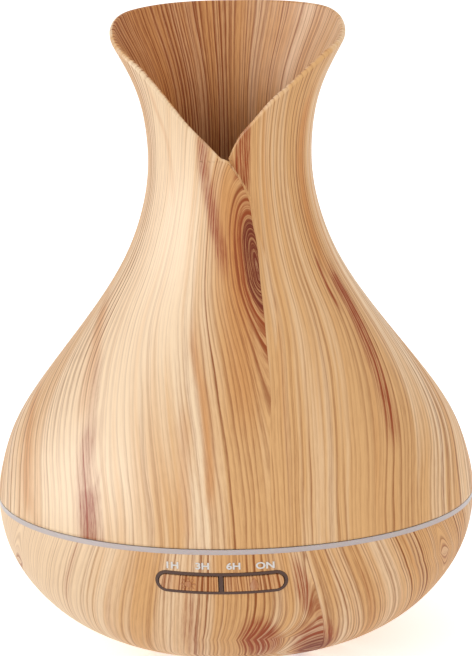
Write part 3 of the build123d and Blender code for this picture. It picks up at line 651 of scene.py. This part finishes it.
# ---------------------------------------------------------------- base wood
# Grain of the base: it leans outwards as it runs down from the rim
BASE_RIM = 50.0
BASE_DENSE = 2.0
KEY_DENSE = 2.6
BASE_LEAN = 0.0105
# Knots the grain goes round: (lean-free angle, height, half width, reach in height, from, to)
BASE_KNOTS = [(19.3, 7.0, 9.5, 8.5, -60.0, 19.3), (58.0, 38.0, 3.5, 7.0, 40.0, 76.0),
              (-58.0, 34.0, 5.0, 10.0, -75.0, -40.0), (150.0, 26.0, 7.0, 9.0, 120.0, 171.0)]
KNOT_SOFT = 1.5
# Where the grain swings to the left: (lean-free angle, height, half width, reach in height, degrees)
BASE_SWING = (7.0, 16.0, 8.0, 8.5, 4.0)
# Red-brown patches on the base: (lean-free angle, height, half width, half height, strength)
BASE_PATCHES = [(16.8, 36.0, 1.7, 12.0, 0.9), (6.5, 16.0, 4.0, 10.0, 1.3), (17.5, 11.0, 5.0, 12.0, 1.2),
                (18.6, 22.0, 1.0, 12.0, 0.8), (-6.5, 22.0, 1.8, 18.0, 0.45), (58.0, 37.0, 2.2, 6.0, 0.4),
                (-36.0, 38.0, 0.9, 16.0, 0.45),
                (-58.0, 33.0, 2.2, 7.0, 0.55), (-24.0, 22.0, 0.8, 18.0, 0.30), (31.0, 26.0, 0.7, 20.0, 0.25),
                (150.0, 26.0, 4.0, 8.0, 0.80), (-120.0, 26.0, 1.6, 22.0, 0.60), (95.0, 30.0, 1.4, 20.0, 0.50)]
BASE_CORE = (17.6, 8.0, 3.6, 7.0, 0.9)
# Pale with faint lines on the left of the front: share at each end of a span of angles
BASE_PALE = (-42.0, -12.0, 1.4, -0.2)
BASE_CALM = (-48.0, 0.0, 0.55, 0.0)
# The two fade in from the back of the left side between these angles
BASE_LEFT = (-120.0, -70.0)
BASE_AMBER = 0.15


def base_place(shader):
    """Lean-free angle in degrees and height in mm on the base."""
    split = shader.add("ShaderNodeSeparateXYZ")
    shader.feed(split.inputs[0], shader.add("ShaderNodeTexCoord").outputs["Object"])
    x, y, z = split.outputs
    height = shader.math("MULTIPLY", z, 1 / MM)
    turn = shader.math("ARCTAN2", x, shader.math("MULTIPLY", y, -1.0))
    below = shader.math("SUBTRACT", BASE_RIM, height)
    spread = shader.math("MULTIPLY", shader.math("MULTIPLY", below, BASE_LEAN), shader.math("SINE", turn))
    return shader.math("DEGREES", shader.math("SUBTRACT", turn, spread)), height


def round_knot(shader, place, height, knot):
    """Angle bent so that the grain goes round a knot, kept between the knot's two limits."""
    axis, middle, half, reach, west, east = knot
    away = shader.math("SUBTRACT", axis, place)
    fall = shader.math("ABSOLUTE", shader.math("SUBTRACT", height, middle))
    swell = shader.math("EXPONENT", shader.math("MULTIPLY", fall, -1 / reach))
    inside = shader.math("SUBTRACT", shader.math("MULTIPLY", away, away),
                         shader.math("MULTIPLY", swell, half * half))
    size = shader.math("ADD", shader.math("MULTIPLY", inside, inside), KNOT_SOFT * half)
    distance = shader.math("DIVIDE", inside, shader.math("SQRT", shader.math("SQRT", size)))
    bent = shader.math("SUBTRACT", axis, distance)
    taken = shader.math("MULTIPLY", shader.math("GREATER_THAN", place, west),
                        shader.math("LESS_THAN", place, east))
    kept = shader.math("MULTIPLY", place, shader.math("SUBTRACT", 1.0, taken))
    return shader.math("ADD", kept, shader.math("MULTIPLY", bent, taken))


def swing(shader, place, height, spot):
    """Angle shifted so that the grain swings to the left in a sharp bend at one height."""
    angle, middle, half_width, reach, shift = spot
    across = shader.math("MULTIPLY", shader.math("SUBTRACT", place, angle), 1 / half_width)
    fade = shader.math("EXPONENT", shader.math("MULTIPLY", shader.math("MULTIPLY", across, across), -1.0))
    fall = shader.math("ABSOLUTE", shader.math("SUBTRACT", height, middle))
    near = shader.math("EXPONENT", shader.math("MULTIPLY", fall, -1 / reach))
    return shader.math("ADD", place, shader.math("MULTIPLY", shader.math("MULTIPLY", fade, near), shift))


def patch(shader, place, height, spot):
    """Soft oval mark."""
    angle, middle, half_width, half_height, strength = spot
    across = shader.math("MULTIPLY", shader.math("SUBTRACT", place, angle), 1 / half_width)
    along = shader.math("MULTIPLY", shader.math("SUBTRACT", height, middle), 1 / half_height)
    size = shader.math("ADD", shader.math("MULTIPLY", across, across), shader.math("MULTIPLY", along, along))
    return shader.span(size, 0.0, 1.7, strength, 0.0)


def base_fields(shader):
    """The base's grain, worked out from the place on it."""
    place, height = base_place(shader)
    left = shader.span(place, *BASE_LEFT)
    pale = shader.math("MULTIPLY", shader.span(place, *BASE_PALE), left)
    calm = shader.math("MULTIPLY", shader.span(place, *BASE_CALM), left)
    red = 0.0
    for spot in BASE_PATCHES:
        red = shader.math("MAXIMUM", red, patch(shader, place, height, spot))
    core = patch(shader, place, height, BASE_CORE)
    place = swing(shader, place, height, BASE_SWING)
    for knot in BASE_KNOTS:
        place = round_knot(shader, place, height, knot)
    ring = shader.math("ADD", shader.math("MULTIPLY", place, BASE_DENSE * RINGS_AROUND / 360), KEY_SHIFT)
    return ring, height, red, pale, core, calm, BASE_AMBER


def key_fields(shader):
    """The keys' grain: darker and redder than the base around them."""
    place, height = base_place(shader)
    ring = shader.math("ADD", shader.math("MULTIPLY", place, KEY_DENSE * RINGS_AROUND / 360), 3 * KEY_SHIFT)
    return ring, height, 0.16, 0.0, 0.0, -0.5, 0.3


def shaded_symbol_fields(shader):
    """A darker tone of the keys' print, without lines, for the marks raised on them: painted shade, since the
    marks have the keys' own colour and show only by their shading.
    """
    ring, height = key_fields(shader)[:2]
    return ring, height, 1.5, 0.0, 0.0, 1.0, 0.6


# ---------------------------------------------------------------- plain materials
def moulded(name, tint, roughness, grain=0.04, variation=0.05, **inputs):
    """Moulded plastic: slight tone variation, fine surface texture."""
    material, shader, principled = new_material(name)
    place = shader.add("ShaderNodeTexCoord").outputs["Object"]
    cloud = shader.noise(place, 60.0, 3.0)
    fine = shader.noise(place, 2400.0, 2.0)
    darker = tuple(channel * (1 - variation * 2) for channel in tint[:3]) + (1.0,)
    shader.feed(principled.inputs["Base Color"], shader.mix(cloud, darker, tint))
    rough = shader.math("ADD", roughness - 0.04, shader.math("MULTIPLY", fine, 0.08))
    shader.feed(principled.inputs["Roughness"], rough)
    bump(shader, principled, fine, grain * 4, 0.00006)
    for socket, value in inputs.items():
        principled.inputs[socket.replace("_", " ")].default_value = value
    return material


def metal(name, tint, roughness):
    """Bright metal with fine brushing."""
    material, shader, principled = new_material(name)
    place = shader.add("ShaderNodeTexCoord").outputs["Object"]
    stretched = shader.add("ShaderNodeMapping")
    stretched.inputs["Scale"].default_value = (900.0, 900.0, 90.0)
    shader.feed(stretched.inputs["Vector"], place)
    brushed = shader.noise(stretched.outputs[0], 1.0, 3.0)
    darker = tuple(channel * 0.8 for channel in tint[:3]) + (1.0,)
    rough = shader.math("ADD", roughness, shader.math("MULTIPLY", brushed, 0.15))
    shader.feed(principled.inputs["Base Color"], shader.mix(brushed, tint, darker))
    shader.feed(principled.inputs["Roughness"], rough)
    principled.inputs["Metallic"].default_value = 1.0
    bump(shader, principled, brushed, 0.1, 0.00003)
    return material


WOOD_KEY = wood_material("wood_print_key", key_fields)
WOOD_SYMBOL_SHADED = wood_material("wood_print_symbol_shaded", shaded_symbol_fields)


# ---------------------------------------------------------------- legends and symbols
def on_base(across, up, offset):
    """Point of the base's surface from the keys' middle: mm to the right, mm up the slope, mm off it."""
    height = KEY_HEIGHT + up * math.cos(math.radians(KEY_TILT))
    angle = math.degrees(math.asin(across / float(radius_at(height))))
    return surface(np.array(angle), np.array(height), np.array(offset))


def wrap_on_base(name, flat, lift):
    """Lay a flat mesh, drawn in mm in X and Y with its thickness in Z, over the base."""
    for vertex in flat.vertices:
        across, up, out = vertex.co
        vertex.co = on_base(across, up, out + lift)
    flat.update()
    piece = bpy.data.objects.new(name, flat)
    bpy.context.scene.collection.objects.link(piece)
    return piece


def make_legends():
    """Printed timer legends over the keys."""
    ink = moulded("legend_ink", colour(224, 218, 212), 0.5)
    for index, (text, across) in enumerate(LEGENDS.items()):
        curve = bpy.data.curves.new("legend", "FONT")
        curve.body = text
        curve.size = LEGEND_SIZE
        curve.align_x = "CENTER"
        curve.align_y = "CENTER"
        curve.extrude = 0.03
        curve.offset = 0.12
        writing = bpy.data.objects.new("legend_curve", curve)
        bpy.context.scene.collection.objects.link(writing)
        bpy.context.view_layer.update()
        flat = bpy.data.meshes.new_from_object(writing)
        bpy.data.objects.remove(writing)
        for vertex in flat.vertices:
            vertex.co.x += across
            vertex.co.y = vertex.co.y * LEGEND_SQUAT + LEGEND_ROW
        piece = wrap_on_base(f"timer_legend_{index + 1}", flat, LEGEND_LIFT)
        piece.data.materials.clear()
        piece.data.materials.append(ink)
        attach(piece, "base")


def plate(outlines, thickness):
    """Flat mesh of prisms, one for each outline of (x, y) points."""
    points, faces = [], []
    for outline in outlines:
        size = len(outline)
        first = len(points)
        points += [(x, y, 0.0) for x, y in outline] + [(x, y, thickness) for x, y in outline]
        faces.append(tuple(first + size + i for i in range(size)))
        faces.append(tuple(first + i for i in reversed(range(size))))
        faces += [(first + i, first + (i + 1) % size, first + size + (i + 1) % size, first + size + i)
                  for i in range(size)]
    mesh = bpy.data.meshes.new("symbol")
    mesh.from_pydata(points, [], faces)
    mesh.update()
    return mesh


def lamp_outlines(centre):
    """Disc with eight rays."""
    disc = [(centre + LAMP_RADIUS * math.cos(t), LAMP_RADIUS * math.sin(t))
            for t in np.linspace(0, 2 * math.pi, 24, endpoint=False)]
    rays = []
    for turn in np.linspace(0, 2 * math.pi, 8, endpoint=False):
        along = np.array([math.cos(turn), math.sin(turn)])
        beside = np.array([-along[1], along[0]]) * RAY_HALF_WIDTH
        rays.append([tuple(np.array([centre, 0.0]) + along * r + beside * side)
                     for r, side in ((RAY_FROM, -1), (RAY_TO, -1), (RAY_TO, 1), (RAY_FROM, 1))])
    return [disc] + rays


def drop_outlines(centre):
    """Mist drop: round below, pointed above."""
    bowl = [(centre + DROP_RADIUS * math.cos(t), DROP_LOW + DROP_RADIUS * math.sin(t))
            for t in np.linspace(math.radians(-205), math.radians(25), 26)]
    return [bowl + [(centre + 0.75, 1.1), (centre, 2.4), (centre - 0.75, 1.1)]]


def make_symbols():
    """Raised marks on the keys: a lamp on the left one and a mist drop on the right one."""
    for name, body, outlines in (("lamp_symbol", "light_key", lamp_outlines(-KEY_CENTRE)),
                                 ("mist_symbol", "mist_key", drop_outlines(KEY_CENTRE))):
        piece = wrap_on_base(name, plate(outlines, SYMBOL_THICKNESS), KEY_PROUD - SYMBOL_SUNK)
        # The marks' darker finish is painted shade, standing in for the shading of their relief
        piece.data.materials.append(WOOD_SYMBOL_SHADED)
        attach(piece, body)


def dress(material, *nodes):
    """Give CAD nodes a finish."""
    for name in nodes:
        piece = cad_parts[name]
        piece.data.materials.clear()
        piece.data.materials.append(material)


def dress_nodes():
    """Finishes of the CAD nodes that stay."""
    dress(wood_material("wood_print_base", base_fields), "base_shell")
    dress(WOOD_KEY, "light_button", "mist_button")
    dress(moulded("frosted_ring", colour(208, 186, 180), 0.38, Subsurface_Weight=0.2), "light_ring")
    dress(moulded("frosted_dome", colour(226, 230, 232), 0.45, Subsurface_Weight=0.2), "inner_cover")
    dress(moulded("white_tank", colour(238, 238, 234), 0.28), "water_tank", "air_tube", "fan_duct")
    dress(moulded("dark_bezel", colour(74, 42, 26), 0.4), "button_bezel")
    dress(moulded("black_plastic", colour(32, 32, 33), 0.45), "bottom_cover", "base_floor",
          "inlet_cup", "dc_jack", "fan_frame",
          "fan_impeller", "transducer_clamp", "light_switch_body", "mist_switch_body",
          "light_switch_plunger", "mist_switch_plunger")
    dress(moulded("foot_rubber", colour(70, 68, 66), 0.8), "rubber_feet")
    dress(moulded("seal_rubber", colour(225, 225, 220), 0.6), "transducer_seal")
    dress(moulded("gasket_foam", colour(40, 40, 40), 0.9), "duct_gasket")
    dress(moulded("board_mask", colour(24, 92, 52), 0.35), "main_board", "button_board", "ring_board")
    dress(moulded("component_black", colour(40, 40, 44), 0.4), "board_components")
    dress(moulded("lamp_body", colour(240, 238, 215), 0.3), "ring_leds", "indicator_leds")
    dress(moulded("clear_guide", colour(225, 232, 236), 0.15, Transmission_Weight=0.6),
          "indicator_light_guide")
    dress(moulded("lead_sheath", colour(178, 40, 32), 0.5), "transducer_lead", "fan_lead", "ring_lead",
          "button_lead", "inlet_lead")
    dress(moulded("silvered_ceramic", colour(214, 208, 190), 0.3), "transducer_disc")
    dress(metal("zinc_steel", colour(190, 190, 192), 0.3), "tank_screws", "bottom_cover_screws",
          "transducer_screws", "fan_screws", "main_board_screws", "button_board_screws", "fan_shaft")
    dress(metal("bronze", colour(178, 130, 82), 0.4), "fan_bearing")
    dress(metal("copper", colour(196, 110, 66), 0.35), "fan_stator")
    dress(metal("ferrite", colour(60, 60, 62), 0.6), "rotor_magnet")


# ---------------------------------------------------------------- stage
def make_stage():
    """Pale floor, soft lights and the camera."""
    bpy.ops.mesh.primitive_circle_add(vertices=96, radius=12, fill_type="NGON", location=(0, 0, 0))
    floor = bpy.context.object
    floor.name = "floor"
    material, shader, principled = new_material("floor_white")
    place = shader.add("ShaderNodeTexCoord").outputs["Object"]
    shader.feed(principled.inputs["Base Color"],
                shader.mix(shader.noise(place, 3.0), colour(246, 246, 245), colour(250, 250, 250)))
    principled.inputs["Roughness"].default_value = 0.9
    principled.inputs["Emission Color"].default_value = (1, 1, 1, 1)
    principled.inputs["Emission Strength"].default_value = 0.5
    floor.data.materials.append(material)
    floor.visible_diffuse = False

    world = bpy.data.worlds.new("studio")
    bpy.context.scene.world = world
    world.use_nodes = True
    sky = Shader(world.node_tree)
    split = sky.add("ShaderNodeSeparateXYZ")
    sky.feed(split.inputs[0], sky.add("ShaderNodeTexCoord").outputs["Generated"])
    background = world.node_tree.nodes["Background"]
    background.inputs["Color"].default_value = (1, 1, 1, 1)
    sky.feed(background.inputs["Strength"], sky.span(split.outputs[2], -0.6, 0.5, SKY_BELOW, SKY_ABOVE))

    def area(name, place, size, power):
        light = bpy.data.lights.new(name, "AREA")
        light.shape = "DISK"
        light.size = size
        light.energy = power
        lamp = bpy.data.objects.new(name, light)
        lamp.location = place
        lamp.rotation_euler = (Vector((0, 0, 0.12)) - Vector(place)).to_track_quat("-Z", "Y").to_euler()
        bpy.context.scene.collection.objects.link(lamp)
        return lamp

    area("key", (-1.5, -1.3, 0.9), 1.3, KEY_POWER)
    area("fill", (1.6, -1.2, 0.9), 1.6, FILL_POWER)
    area("sheen", (-2.1, -0.55, 0.65), 2.2, SHEEN_POWER).visible_diffuse = False

    bpy.context.scene.view_settings.view_transform = "Standard"

    angle = math.radians(CAMERA_ANGLE)
    outward = Vector((math.sin(angle), -math.cos(angle), 0))
    place = (outward * CAMERA_DISTANCE + Vector((0, 0, CAMERA_HEIGHT))) * MM
    side = Vector((math.cos(angle), math.sin(angle), 0)) * CAMERA_SIDE * MM
    aim = Vector((0, 0, CAMERA_AIM * MM)) + side
    data = bpy.data.cameras.new("camera")
    data.lens = CAMERA_LENS
    data.sensor_width = 36.0
    camera = bpy.data.objects.new("camera", data)
    bpy.context.scene.collection.objects.link(camera)
    turned = (aim - place).to_track_quat("-Z", "Y").to_matrix()
    rolled = turned @ Matrix.Rotation(math.radians(-CAMERA_ROLL), 3, "Z")
    camera.matrix_world = Matrix.Translation(place) @ rolled.to_4x4()
    bpy.context.scene.camera = camera


make_stage()
make_cover()
make_legends()
make_symbols()
dress_nodes()
